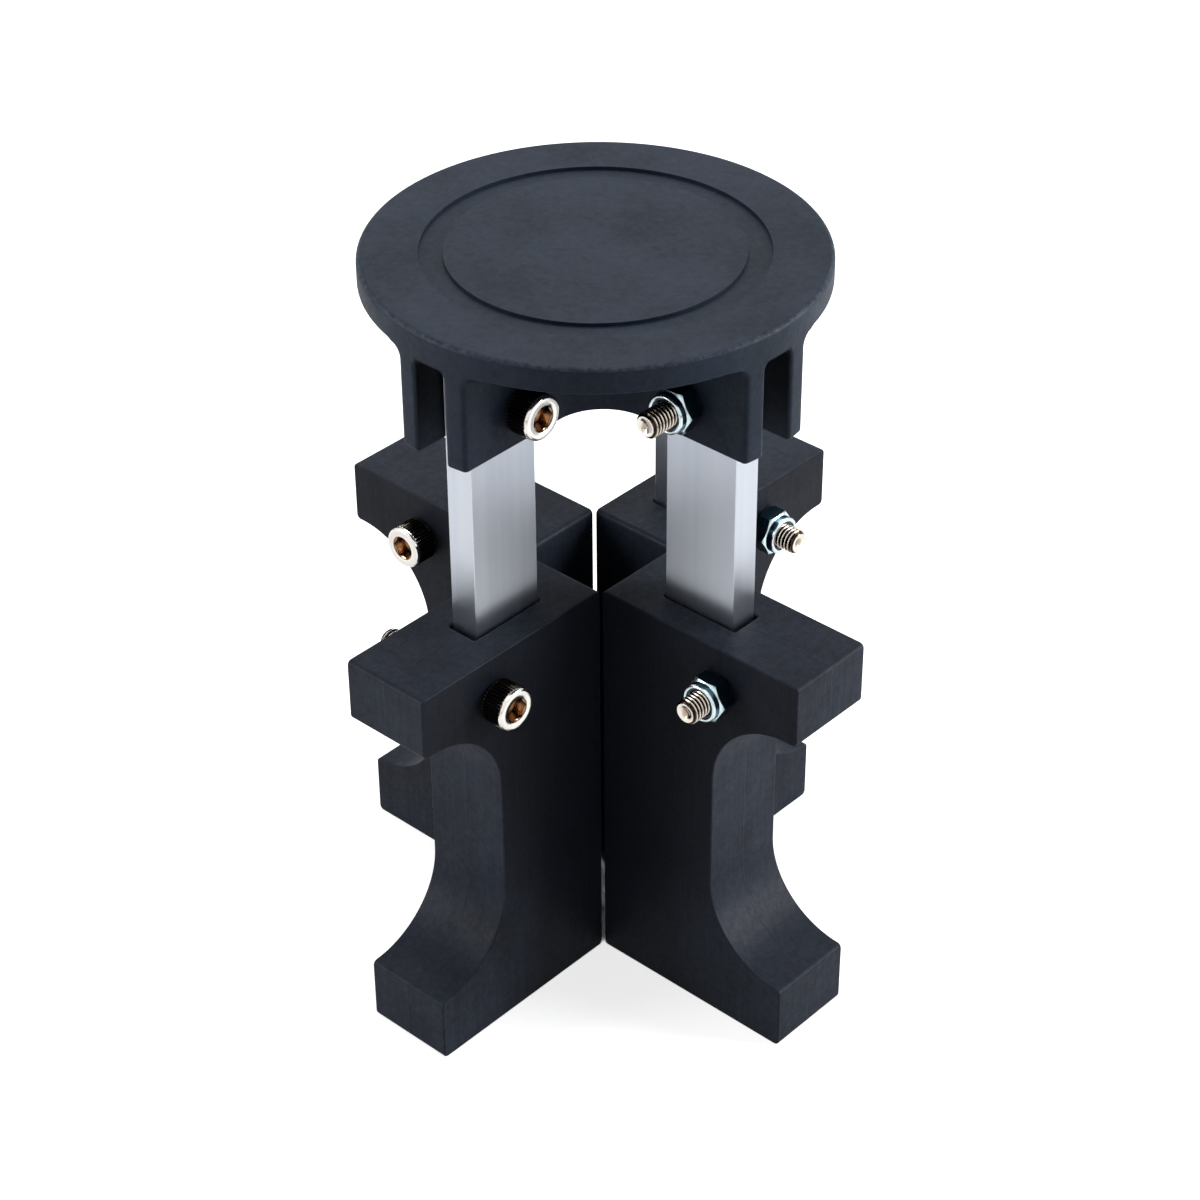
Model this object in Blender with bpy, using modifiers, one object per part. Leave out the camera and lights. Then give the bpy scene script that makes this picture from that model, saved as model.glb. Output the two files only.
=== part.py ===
"""Conga riser, folded: a moulded hub that carries four hinged arms.

Each arm is a flat aluminium bar with a C-shaped moulded foot on its end.
It hangs from a fork of the hub on a socket head screw and swings out by
90 degrees, until the foot's inner face lies on the floor and its recess
faces up to carry the rim of a drum.

Metres, +Z up.  The origin is on the floor, on the axis of the hub.
Arm 1 points along +X and the others follow counterclockwise.
"""
import math

import bpy
import bmesh
from mathutils import Matrix, Vector

ARMS = 4
GAP = 0.0003               # between pieces that touch on the real object

# Hub
HUB_TOP = 0.1493           # height of the top face above the floor
RIM_HEIGHT = 0.0050
RIM_TOP_ROUND = 0.0012
RING_OUTER = 0.0311        # plain ring sunk into the top face
RING_INNER = 0.0268
RING_DEPTH = 0.0006

# Forks of the hub
FORK_WIDTH = 0.0154
FORK_DROP = 0.0243         # from the top face down to the ends of the prongs
FORK_CORNER = 0.0010
FORK_ROOT_ROUND = 0.0025   # under the disc, beside the prongs
FORK_END_ROUND = 0.0006
CROSS_ROUND = 0.0100       # in plan, in the four corners between the forks
SLOT_ROOF_ROUND = 0.0018
SLOT_DROP = 0.0005         # from the underside of the disc to the roof of the slot
PIVOT_RISE = 0.0070        # from the ends of the prongs to the pivot
PIVOT_TO_RIM = 0.0144

# Bars
BAR_WIDTH = 0.0160
BAR_THICK = 0.0060
BAR_EDGE = 0.0003
BAR_SHOULDER = 0.0015      # round of the shoulder that stops the arm when it is level
BAR_SEAT = 0.0200          # depth of the bar in its foot

# Feet
FOOT_HEIGHT = 0.0856
FOOT_THICK = 0.0188
FOOT_REACH = 0.0461        # from the inner face to the end of the upper block
FOOT_BASE_STEP = 0.0016    # the lower block ends this much short of the upper one
FOOT_WALL = 0.0269         # from the inner face to the bottom of the recess
BAR_SETBACK = 0.0177       # from the inner face to the middle of the bar
FOOT_ARM_HEIGHT = 0.0129
FOOT_BASE_HEIGHT = 0.0136
FOOT_RECESS_ROUND = 0.0172
FOOT_EDGE = 0.0008
FOOT_SPACING = 0.0005      # half the distance between neighbouring feet, along each axis
POCKET_PLAY = 0.0008       # of the pocket past the outer edge of the bar

# Fasteners
SCREW_DIAMETER = 0.0050
SCREW_HEAD_DIAMETER = 0.0085
SCREW_HEAD_HEIGHT = 0.0050
SCREW_SOCKET_WIDTH = 0.0042
SCREW_SOCKET_DEPTH = 0.0026
SCREW_CHAMFER = 0.0006
PIVOT_SCREW_LENGTH = 0.0260
FOOT_SCREW_LENGTH = 0.0280
NUT_WIDTH = 0.0080
NUT_HEX_HEIGHT = 0.0034
NUT_HEIGHT = 0.0050
NUT_CHAMFER = 0.0004
NUT_COLLAR_WALL = 0.0004
NUT_PLAY = 0.00015         # round the screw and the insert inside a nut
INSERT_WALL = 0.0006
INSERT_HEIGHT = 0.0010
FOOT_SCREW_DROP = 0.0093   # from the top of the foot to its screw
FOOT_SCREW_SIDE = 0.0020   # from the outer edge of the bar to the screw

# What follows from the sizes: the feet stand round the axis, the bars in the feet,
# the pivots above the bars, and the rim of the hub outside the pivots
FOOT_INNER = FOOT_THICK / 2 + FOOT_SPACING
PIVOT_RADIUS = FOOT_INNER + BAR_SETBACK
HUB_RADIUS = PIVOT_RADIUS + PIVOT_TO_RIM
DISC_UNDERSIDE = HUB_TOP - RIM_HEIGHT
FORK_BOTTOM = HUB_TOP - FORK_DROP
PIVOT_HEIGHT = FORK_BOTTOM + PIVOT_RISE
SLOT_WIDTH = BAR_THICK + 2 * GAP
SLOT_INNER = PIVOT_RADIUS - BAR_WIDTH / 2 - GAP
SLOT_ROOF = DISC_UNDERSIDE - SLOT_DROP
HOLE_RADIUS = SCREW_DIAMETER / 2 + GAP
NUT_BORE = SCREW_DIAMETER / 2 + NUT_PLAY
INSERT_RADIUS = NUT_BORE + INSERT_WALL
INSERT_SEAT = INSERT_RADIUS + NUT_PLAY
NUT_COLLAR = INSERT_SEAT + NUT_COLLAR_WALL
INSERT_FLOOR = NUT_HEIGHT - INSERT_HEIGHT - NUT_PLAY
FOOT_TOP = FOOT_HEIGHT - PIVOT_HEIGHT
BAR_END = FOOT_TOP - BAR_SEAT
FOOT_SCREW_X = BAR_WIDTH / 2 + FOOT_SCREW_SIDE
FOOT_SCREW_Z = FOOT_TOP - FOOT_SCREW_DROP

TURN_STEPS = 20
RIM_ARC_STEPS = 6          # across the outer face of a fork
RIM_GAP_STEPS = 12         # round the rim from one fork to the next
ROUND_STEPS = 5
RECESS_STEPS = 14          # in each rounded corner of a foot's recess
CUT = 0.002                # how far a cutter runs past the surface that it opens

for old in list(bpy.data.objects):
    bpy.data.objects.remove(old, do_unlink=True)

parts = bpy.data.collections.new("conga_riser")
cutters = bpy.data.collections.new("cutters")
bpy.context.scene.collection.children.link(parts)
bpy.context.scene.collection.children.link(cutters)


def material(name, rgb, roughness, metallic):
    mat = bpy.data.materials.new(name)
    mat.use_nodes = True
    shader = mat.node_tree.nodes["Principled BSDF"]
    shader.inputs["Base Color"].default_value = (*rgb, 1.0)
    shader.inputs["Roughness"].default_value = roughness
    shader.inputs["Metallic"].default_value = metallic
    return mat


HUB_PLASTIC = material("moulded_hub_plastic", (0.030, 0.033, 0.040), 0.50, 0.0)
FOOT_PLASTIC = material("moulded_foot_plastic", (0.022, 0.024, 0.030), 0.55, 0.0)
ALUMINIUM = material("satin_aluminium", (0.62, 0.64, 0.67), 0.35, 1.0)
NICKEL = material("nickel_plated_steel", (0.58, 0.54, 0.48), 0.18, 1.0)
ZINC = material("zinc_plated_steel", (0.50, 0.56, 0.60), 0.25, 1.0)
NYLON = material("nylon_insert", (0.08, 0.10, 0.12), 0.50, 0.0)


def add_part(name, mesh, mat, parent=None, location=(0, 0, 0), rotation=(0, 0, 0)):
    obj = bpy.data.objects.new(name, mesh)
    if not mesh.materials:
        mesh.materials.append(mat)
    obj.parent = parent
    obj.location = location
    obj.rotation_euler = rotation
    parts.objects.link(obj)
    return obj


def add_cutter(name, mesh, parent=None, location=(0, 0, 0), rotation=(0, 0, 0)):
    obj = bpy.data.objects.new(name, mesh)
    obj.parent = parent
    obj.location = location
    obj.rotation_euler = rotation
    obj.hide_render = True
    obj.display_type = "WIRE"
    cutters.objects.link(obj)
    return obj


def boolean(obj, tool, operation="DIFFERENCE"):
    mod = obj.modifiers.new(tool.name, "BOOLEAN")
    mod.operation = operation
    mod.object = tool


def bevel(obj, width, segments=2, angle=40):
    mod = obj.modifiers.new("edges", "BEVEL")
    mod.width = width
    mod.segments = segments
    mod.limit_method = "ANGLE"
    mod.angle_limit = math.radians(angle)


def finish_mesh(bm, name):
    bmesh.ops.recalc_face_normals(bm, faces=bm.faces)
    mesh = bpy.data.meshes.new(name)
    bm.to_mesh(mesh)
    bm.free()
    mesh.shade_smooth()
    mesh.set_sharp_from_angle(angle=math.radians(30))
    return mesh


def box_mesh(name, low, high):
    bm = bmesh.new()
    bmesh.ops.create_cube(bm, size=1.0)
    low = Vector(low)
    span = Vector(high) - low
    for vert in bm.verts:
        share = vert.co + Vector((0.5, 0.5, 0.5))
        vert.co = low + Vector(a * b for a, b in zip(share, span))
    return finish_mesh(bm, name)


def cylinder_mesh(name, radius, length, segments=TURN_STEPS):
    """A cylinder along Y, centred on the origin."""
    bm = bmesh.new()
    bmesh.ops.create_cone(bm, cap_ends=True, segments=segments,
                          radius1=radius, radius2=radius, depth=length)
    bmesh.ops.rotate(bm, verts=bm.verts, matrix=Matrix.Rotation(math.pi / 2, 3, "X"))
    return finish_mesh(bm, name)


def turned_mesh(name, profile):
    """The mesh of a profile, from top to bottom at +X, turned about Z."""
    line = bpy.data.meshes.new(name)
    line.from_pydata([(r, 0.0, z) for r, z in profile],
                     [(i, i + 1) for i in range(len(profile) - 1)], [])
    guide = bpy.data.objects.new(name + "_profile", line)
    bpy.context.scene.collection.objects.link(guide)
    mod = guide.modifiers.new("turn", "SCREW")
    mod.steps = TURN_STEPS
    mod.render_steps = TURN_STEPS
    mod.use_merge_vertices = True
    mod.merge_threshold = 0.00001
    return evaluated(guide, name)


def evaluated(guide, name):
    """The finished mesh of a guide object, welded, and the guide removed."""
    graph = bpy.context.evaluated_depsgraph_get()
    mesh = bpy.data.meshes.new_from_object(guide.evaluated_get(graph))
    mesh.transform(guide.matrix_world)
    bpy.data.objects.remove(guide, do_unlink=True)
    bm = bmesh.new()
    bm.from_mesh(mesh)
    bmesh.ops.remove_doubles(bm, verts=bm.verts, dist=0.000001)
    mesh.name = name
    bpy.data.meshes.remove(mesh)
    return finish_mesh(bm, name)


def plate_mesh(name, outline, thickness):
    """A flat outline in XZ, given a thickness along Y."""
    curve = bpy.data.curves.new(name, "CURVE")
    curve.dimensions = "2D"
    curve.fill_mode = "BOTH"
    curve.extrude = thickness / 2
    spline = curve.splines.new("POLY")
    spline.points.add(len(outline) - 1)
    for point, (x, z) in zip(spline.points, outline):
        point.co = (x, z, 0.0, 1.0)
    spline.use_cyclic_u = True
    guide = bpy.data.objects.new(name + "_outline", curve)
    guide.rotation_euler = (math.pi / 2, 0, 0)
    bpy.context.scene.collection.objects.link(guide)
    bpy.context.view_layer.update()
    return evaluated(guide, name)


def arc(centre, radius, start, end, steps):
    """Points on an arc, with angles in degrees."""
    points = []
    for i in range(steps + 1):
        angle = math.radians(start + (end - start) * i / steps)
        points.append((centre[0] + radius * math.cos(angle),
                       centre[1] + radius * math.sin(angle)))
    return points


def fork_outline(spread, shrink):
    """Points from the middle of one corner of the cross to the next, round one fork.

    The fork points along +X.  spread widens it on each side, and shrink
    draws its end in from the rim.
    """
    radius = HUB_RADIUS - shrink
    half = FORK_WIDTH / 2 + spread - shrink
    corner = FORK_CORNER
    inner = CROSS_ROUND - spread + shrink
    middle = half + inner
    side = arc((middle, middle), inner, 225, 270, ROUND_STEPS)
    corner_x = math.sqrt((radius - corner) ** 2 - (half - corner) ** 2)
    tangent = math.degrees(math.atan2(half - corner, corner_x))
    rounded = arc((corner_x, half - corner), corner, 90, tangent, 3)
    upper = side + rounded
    face = arc((0, 0), radius, tangent, -tangent, RIM_ARC_STEPS)[1:-1]
    lower = [(x, -y) for x, y in reversed(upper)]
    return upper, face, lower, tangent


def cross_loop(spread, shrink):
    """The cross's whole outline, clockwise, as (x, y) points."""
    upper, face, lower, _ = fork_outline(spread, shrink)
    one = upper + face + lower[:-1]
    loop = []
    for k in range(ARMS):
        turn = Matrix.Rotation(-2 * math.pi * k / ARMS, 2)
        loop += [tuple(turn @ Vector(p)) for p in one]
    return loop, len(one), len(upper), len(face)


def hub_mesh():
    """The cross of four forks, lofted up into the disc that covers it."""
    bm = bmesh.new()

    def ring(points, z):
        return [bm.verts.new((x, y, z)) for x, y in points]

    def join(a, b):
        for i in range(len(a)):
            j = (i + 1) % len(a)
            bm.faces.new((a[i], a[j], b[j], b[i]))

    sections = [(0.0, FORK_END_ROUND, 0.0), (0.0, 0.0, FORK_END_ROUND)]
    for i in range(ROUND_STEPS + 1):
        angle = math.pi / 2 * i / ROUND_STEPS
        spread = FORK_ROOT_ROUND * (1 - math.cos(angle))
        below_disc = FORK_ROOT_ROUND * (1 - math.sin(angle))
        sections.append((spread, 0.0, FORK_DROP - RIM_HEIGHT - below_disc))
    loops = []
    for spread, shrink, rise in sections:
        points, one, uppers, faces = cross_loop(spread, shrink)
        loops.append(ring(points, FORK_BOTTOM + rise))
    for a, b in zip(loops, loops[1:]):
        join(a, b)
    bm.faces.new(loops[0])

    last = loops[-1]
    tangent = fork_outline(FORK_ROOT_ROUND, 0.0)[3]
    rim = []
    for k in range(ARMS):
        start = k * one
        on_rim = last[start + uppers - 1:start + uppers + faces + 1]
        rim += on_rim
        between = arc((0, 0), HUB_RADIUS, -tangent - 90 * k,
                      tangent - 90 * (k + 1), RIM_GAP_STEPS)[1:-1]
        gap = ring(between, DISC_UNDERSIDE)
        rim += gap
        end = start + uppers + faces
        side = [last[i % len(last)] for i in range(end, start + one + uppers)]
        bm.faces.new(gap + list(reversed(side)))

    def scaled(radius, z):
        return ring([(v.co.x * radius / HUB_RADIUS, v.co.y * radius / HUB_RADIUS)
                     for v in rim], z)

    levels = [(HUB_RADIUS, HUB_TOP - RIM_TOP_ROUND)]
    for i in range(1, ROUND_STEPS):
        angle = math.pi / 2 * i / (ROUND_STEPS - 1)
        levels.append((HUB_RADIUS - RIM_TOP_ROUND * (1 - math.cos(angle)),
                       HUB_TOP - RIM_TOP_ROUND * (1 - math.sin(angle))))
    levels += [(RING_OUTER, HUB_TOP), (RING_OUTER - RING_DEPTH / 2, HUB_TOP - RING_DEPTH),
               (RING_INNER + RING_DEPTH / 2, HUB_TOP - RING_DEPTH), (RING_INNER, HUB_TOP)]
    current = rim
    for radius, z in levels:
        following = scaled(radius, z)
        join(current, following)
        current = following
    bm.faces.new(current)
    return finish_mesh(bm, "hub")


def make_hub():
    hub = add_part("hub", hub_mesh(), HUB_PLASTIC)
    slot_low = (SLOT_INNER, -SLOT_WIDTH / 2, FORK_BOTTOM - CUT)
    slot_high = (HUB_RADIUS + CUT, SLOT_WIDTH / 2, SLOT_ROOF)
    slot = box_mesh("slot_cut", slot_low, slot_high)
    bm = bmesh.new()
    bm.from_mesh(slot)
    roof = [e for e in bm.edges
            if all(v.co.z > SLOT_ROOF - GAP for v in e.verts)
            and abs(e.verts[0].co.y - e.verts[1].co.y) < GAP]
    bmesh.ops.bevel(bm, geom=roof, offset=SLOT_ROOF_ROUND, segments=4, profile=0.5,
                    affect="EDGES")
    bm.to_mesh(slot)
    bm.free()
    hole = cylinder_mesh("pivot_hole_cut", HOLE_RADIUS, FORK_WIDTH + 2 * CUT)
    for k in range(ARMS):
        angle = 2 * math.pi * k / ARMS
        boolean(hub, add_cutter(f"slot_cut_{k + 1}", slot, rotation=(0, 0, angle)))
        place = (PIVOT_RADIUS * math.cos(angle), PIVOT_RADIUS * math.sin(angle), PIVOT_HEIGHT)
        boolean(hub, add_cutter(f"pivot_hole_cut_{k + 1}", hole, location=place,
                                rotation=(0, 0, angle)))
    return hub


def bar_mesh():
    """The bar hangs from its pivot at the origin.

    Its inner upper corner is round about the pivot, so that the arm can swing.
    Its outer shoulder stays square and meets the end of the slot when the arm
    is level.
    """
    half = BAR_WIDTH / 2
    outline = arc((0, 0), half, 180, 90, 8)
    outline += arc((half - BAR_SHOULDER, half - BAR_SHOULDER), BAR_SHOULDER, 90, 0, 3)
    outline += [(half, BAR_END), (-half, BAR_END)]
    return plate_mesh("bar", outline, BAR_THICK)


def foot_mesh():
    """The foot in its arm's frame, with its recess facing away from the hub."""
    inner = FOOT_INNER - PIVOT_RADIUS
    bottom = -PIVOT_HEIGHT
    wall = inner + FOOT_WALL
    arm_end = inner + FOOT_REACH
    base_end = arm_end - FOOT_BASE_STEP
    base_top = bottom + FOOT_BASE_HEIGHT
    arm_low = FOOT_TOP - FOOT_ARM_HEIGHT
    middle = wall + FOOT_RECESS_ROUND
    outline = [(inner, bottom), (base_end, bottom), (base_end, base_top)]
    outline += arc((middle, base_top + FOOT_RECESS_ROUND), FOOT_RECESS_ROUND, 270, 180,
                   RECESS_STEPS)
    outline += arc((middle, arm_low - FOOT_RECESS_ROUND), FOOT_RECESS_ROUND, 180, 90,
                   RECESS_STEPS)
    outline += [(arm_end, arm_low), (arm_end, FOOT_TOP), (inner, FOOT_TOP)]
    return plate_mesh("foot", outline, FOOT_THICK)


def pocket_mesh():
    half = BAR_WIDTH / 2 + GAP
    side = BAR_THICK / 2 + GAP
    return box_mesh("pocket_cut", (-half, -side, BAR_END - GAP),
                    (half - GAP + POCKET_PLAY, side, FOOT_TOP + CUT))


def screw_mesh(name, length):
    """A socket head screw along Z, with its head's seat at the origin."""
    shank = SCREW_DIAMETER / 2
    head = SCREW_HEAD_DIAMETER / 2
    top = SCREW_HEAD_HEIGHT
    return turned_mesh(name, [
        (0, top), (head - SCREW_CHAMFER, top), (head, top - SCREW_CHAMFER), (head, 0),
        (shank, 0), (shank, SCREW_CHAMFER - length), (shank - SCREW_CHAMFER, -length),
        (0, -length)])


def socket_mesh():
    bm = bmesh.new()
    across_corners = SCREW_SOCKET_WIDTH / math.cos(math.pi / 6)
    bmesh.ops.create_cone(bm, cap_ends=True, segments=6, radius1=across_corners / 2,
                          radius2=across_corners / 2, depth=2 * SCREW_SOCKET_DEPTH)
    return finish_mesh(bm, "socket_cut")


def nut_mesh():
    """A hexagon with a round collar above it, its seat at the origin."""
    flat = NUT_WIDTH / 2
    corner = flat / math.cos(math.pi / 6)
    return turned_mesh("nut", [
        (0, NUT_HEIGHT), (NUT_COLLAR - NUT_CHAMFER, NUT_HEIGHT),
        (NUT_COLLAR, NUT_HEIGHT - NUT_CHAMFER), (NUT_COLLAR, NUT_HEX_HEIGHT),
        (flat, NUT_HEX_HEIGHT), (corner, NUT_HEX_HEIGHT - NUT_CHAMFER),
        (corner, NUT_CHAMFER), (flat, 0), (0, 0)])


def hexagon_mesh():
    bm = bmesh.new()
    corner = NUT_WIDTH / 2 / math.cos(math.pi / 6)
    bmesh.ops.create_cone(bm, cap_ends=True, segments=6, radius1=corner, radius2=corner,
                          depth=4 * NUT_HEIGHT)
    return finish_mesh(bm, "hexagon")


def nut_bore_mesh():
    """The bore of a lock nut: the screw's hole, and the seat of the insert above it."""
    seat_floor = INSERT_FLOOR - NUT_PLAY
    return turned_mesh("nut_bore_cut", [
        (0, NUT_HEIGHT + CUT), (INSERT_SEAT, NUT_HEIGHT + CUT), (INSERT_SEAT, seat_floor),
        (NUT_BORE, seat_floor), (NUT_BORE, -CUT), (0, -CUT)])


def insert_mesh():
    """The nylon ring that grips the thread, with its lower face at the origin."""
    return turned_mesh("insert", [
        (0, INSERT_HEIGHT), (INSERT_RADIUS, INSERT_HEIGHT), (INSERT_RADIUS, 0), (0, 0)])


def make_fasteners(kind, k, parent, half_grip, place, meshes):
    """One screw across a joint, its lock nut and the nut's insert."""
    x, z = place
    seat = half_grip + GAP
    head_turn = (-math.pi / 2, 0, 0)
    nut_turn = (math.pi / 2, 0, 0)
    screw = add_part(f"{kind}_screw_{k}", meshes[kind], NICKEL, parent, (x, seat, z), head_turn)
    boolean(screw, add_cutter(f"{kind}_socket_cut_{k}", meshes["socket"], parent,
                              (x, seat + SCREW_HEAD_HEIGHT, z), head_turn))
    nut = add_part(f"{kind}_locknut_{k}", meshes["nut"], ZINC, parent, (x, -seat, z), nut_turn)
    boolean(nut, add_cutter(f"{kind}_hexagon_{k}", meshes["hexagon"], parent,
                            (x, -seat, z), nut_turn), "INTERSECT")
    boolean(nut, add_cutter(f"{kind}_nut_bore_cut_{k}", meshes["bore"], parent,
                            (x, -seat, z), nut_turn))
    insert_place = (x, -seat - INSERT_FLOOR, z)
    insert = add_part(f"{kind}_nut_insert_{k}", meshes["insert"], NYLON, parent,
                      insert_place, nut_turn)
    boolean(insert, add_cutter(f"{kind}_insert_bore_cut_{k}", meshes["insert_bore"], parent,
                               insert_place))


def make_arms():
    bar_shape = bar_mesh()
    foot_shape = foot_mesh()
    pocket_shape = pocket_mesh()
    hole_shape = cylinder_mesh("hole_cut", HOLE_RADIUS, FOOT_THICK + 2 * CUT)
    meshes = {
        "pivot": screw_mesh("pivot_screw", PIVOT_SCREW_LENGTH),
        "foot": screw_mesh("foot_screw", FOOT_SCREW_LENGTH),
        "socket": socket_mesh(),
        "nut": nut_mesh(),
        "hexagon": hexagon_mesh(),
        "bore": nut_bore_mesh(),
        "insert": insert_mesh(),
        "insert_bore": cylinder_mesh("insert_bore_cut", NUT_BORE, NUT_HEIGHT),
    }
    for k in range(1, ARMS + 1):
        angle = 2 * math.pi * (k - 1) / ARMS
        pivot = bpy.data.objects.new(f"arm_pivot_{k}", None)
        pivot.location = (PIVOT_RADIUS * math.cos(angle), PIVOT_RADIUS * math.sin(angle),
                          PIVOT_HEIGHT)
        pivot.rotation_euler = (0, 0, angle)
        parts.objects.link(pivot)

        bar = add_part(f"bar_{k}", bar_shape, ALUMINIUM, pivot)
        bevel(bar, BAR_EDGE, segments=1)
        boolean(bar, add_cutter(f"bar_pivot_hole_cut_{k}", hole_shape, pivot))
        notch = add_cutter(f"foot_hole_cut_{k}", hole_shape, pivot,
                           (FOOT_SCREW_X, 0, FOOT_SCREW_Z))
        boolean(bar, notch)

        foot = add_part(f"foot_{k}", foot_shape, FOOT_PLASTIC, pivot)
        bevel(foot, FOOT_EDGE)
        boolean(foot, add_cutter(f"pocket_cut_{k}", pocket_shape, pivot))
        boolean(foot, notch)

        make_fasteners("pivot", k, pivot, FORK_WIDTH / 2, (0, 0), meshes)
        make_fasteners("foot", k, pivot, FOOT_THICK / 2, (FOOT_SCREW_X, FOOT_SCREW_Z), meshes)


make_hub()
make_arms()
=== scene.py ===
"""Looks for the folded conga riser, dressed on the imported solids."""

import math

import bmesh
import bpy
from mathutils import Matrix, Vector


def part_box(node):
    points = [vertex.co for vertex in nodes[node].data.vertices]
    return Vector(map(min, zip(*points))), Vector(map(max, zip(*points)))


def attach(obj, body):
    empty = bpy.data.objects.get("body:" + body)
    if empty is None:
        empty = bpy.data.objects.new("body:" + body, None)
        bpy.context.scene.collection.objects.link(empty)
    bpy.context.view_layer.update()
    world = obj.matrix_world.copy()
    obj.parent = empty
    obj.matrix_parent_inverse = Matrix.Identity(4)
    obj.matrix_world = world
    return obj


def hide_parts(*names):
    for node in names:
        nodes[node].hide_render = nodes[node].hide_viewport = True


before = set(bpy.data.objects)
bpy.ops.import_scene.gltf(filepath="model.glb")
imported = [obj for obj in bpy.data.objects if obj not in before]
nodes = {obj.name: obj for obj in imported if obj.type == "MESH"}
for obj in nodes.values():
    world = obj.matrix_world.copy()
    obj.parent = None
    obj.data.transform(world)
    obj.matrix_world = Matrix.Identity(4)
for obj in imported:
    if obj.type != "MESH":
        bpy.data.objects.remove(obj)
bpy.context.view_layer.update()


# Hub
# A round cap over a cross of four slotted forks, moulded in one piece from glass-filled nylon.
# The mould gives every edge a small radius, and a shallow ring runs round the plain middle of
# the cap.  Each fork is drilled for the screw that its arm swings on.
ARMS = 4
HUB_RADIUS = 0.0420
HUB_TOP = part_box("hub")[1][2]
FORK_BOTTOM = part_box("hub")[0][2]
CAP_UNDERSIDE = HUB_TOP - 0.0050
FORK_HALF = 0.0077
FORK_CORNER = 0.0010
FORK_ROOT_ROUND = 0.0025
FORK_END_ROUND = 0.0006
CROSS_ROUND = 0.0100
SLOT_HALF = 0.0033
SLOT_INNER = 0.0193
SLOT_ROOF = CAP_UNDERSIDE - 0.0005
SLOT_ROOF_ROUND = 0.0018
SLOT_MOUTH_ROUND = 0.0008
RIM_TOP_ROUND = 0.0010
RIM_LOW_ROUND = 0.0005
RING_OUTER = 0.0311
RING_INNER = 0.0268
RING_DEPTH = 0.0007
RING_EDGE = 0.00006
HOLE_RADIUS = 0.0028
PIVOT_RADIUS = 0.0276
PIVOT_HEIGHT = FORK_BOTTOM + 0.0070
PLAN_STEPS = 10
CORNER_STEPS = 5
MOUTH_STEPS = 4
GAP_STEPS = 26


def arc(centre, radius, start, end, steps):
    """Points on an arc, with angles in degrees."""
    points = []
    for i in range(steps + 1):
        angle = math.radians(start + (end - start) * i / steps)
        points.append((centre[0] + radius * math.cos(angle),
                       centre[1] + radius * math.sin(angle)))
    return points


def quarter_round(radius, steps):
    """(depth, rise) pairs that turn a flat end into an upright side."""
    turns = [math.pi / 2 * i / steps for i in range(steps + 1)]
    return [(radius * (1 - math.sin(a)), radius * (1 - math.cos(a))) for a in turns]


def inset(outline, depth):
    """A closed clockwise outline, drawn in by a depth all round."""
    drawn_in = []
    for i, point in enumerate(outline):
        point = Vector(point)
        before = (point - Vector(outline[i - 1])).normalized()
        after = (Vector(outline[(i + 1) % len(outline)]) - point).normalized()
        inward = Vector((before.y + after.y, -before.x - after.x))
        drawn_in.append(point + inward * depth / (1 + before.dot(after)))
    return drawn_in


def add_row(bm, points):
    return [bm.verts.new(p) for p in points]


def join(bm, low, high):
    """The skin between two closed rows of the same length."""
    for i in range(len(low)):
        j = (i + 1) % len(low)
        bm.faces.new((low[i], low[j], high[j], high[i]))


def mesh_of(bm, name):
    bmesh.ops.remove_doubles(bm, verts=bm.verts, dist=1e-7)
    bmesh.ops.recalc_face_normals(bm, faces=bm.faces)
    if bm.calc_volume(signed=True) < 0:
        bmesh.ops.reverse_faces(bm, faces=bm.faces)
    mesh = bpy.data.meshes.new(name)
    bm.to_mesh(mesh)
    bm.free()
    return mesh


def lathe(name, rings, steps, hollow=False):
    """A turned skin through (radius, height) rings.

    A radius or height may also be a function of the angle.  A hollow one joins its last
    ring to its first.
    """
    bm = bmesh.new()
    rows = []
    for radius, height in rings:
        points = []
        for i in range(steps):
            angle = math.tau * i / steps
            r = radius(angle) if callable(radius) else radius
            h = height(angle) if callable(height) else height
            points.append((r * math.cos(angle), r * math.sin(angle), h))
        rows.append(add_row(bm, points))
    for low, high in zip(rows, rows[1:]):
        join(bm, low, high)
    if hollow:
        join(bm, rows[-1], rows[0])
    else:
        bm.faces.new(rows[0])
        bm.faces.new(rows[-1])
    return mesh_of(bm, name)


def carve(mesh, cutters):
    """The mesh with each (mesh, matrix) cutter taken out of it."""
    block = bpy.data.objects.new("block", mesh)
    tools = []
    for cutter, matrix in cutters:
        tool = bpy.data.objects.new("cutter", cutter)
        tool.matrix_world = matrix
        tools.append(tool)
        cut = block.modifiers.new("cut", "BOOLEAN")
        cut.solver = "MANIFOLD"
        cut.object = tool
    for obj in [block] + tools:
        bpy.context.scene.collection.objects.link(obj)
    graph = bpy.context.evaluated_depsgraph_get()
    carved = bpy.data.meshes.new_from_object(block.evaluated_get(graph))
    for obj in [block] + tools:
        bpy.data.objects.remove(obj)
    return carved


def fit_piece(name, mesh, mat, body, replaced, matrix=Matrix.Identity(4)):
    """A piece that takes the place of a CAD node and rides on its body."""
    mesh.shade_smooth()
    mesh.set_sharp_from_angle(angle=math.radians(35))
    mesh.materials.clear()
    mesh.materials.append(mat)
    piece = bpy.data.objects.new(name, mesh)
    bpy.context.scene.collection.objects.link(piece)
    piece.matrix_world = matrix
    weigh = piece.modifiers.new("weighted_normals", "WEIGHTED_NORMAL")
    weigh.keep_sharp = True
    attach(piece, body)
    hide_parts(replaced)


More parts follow.
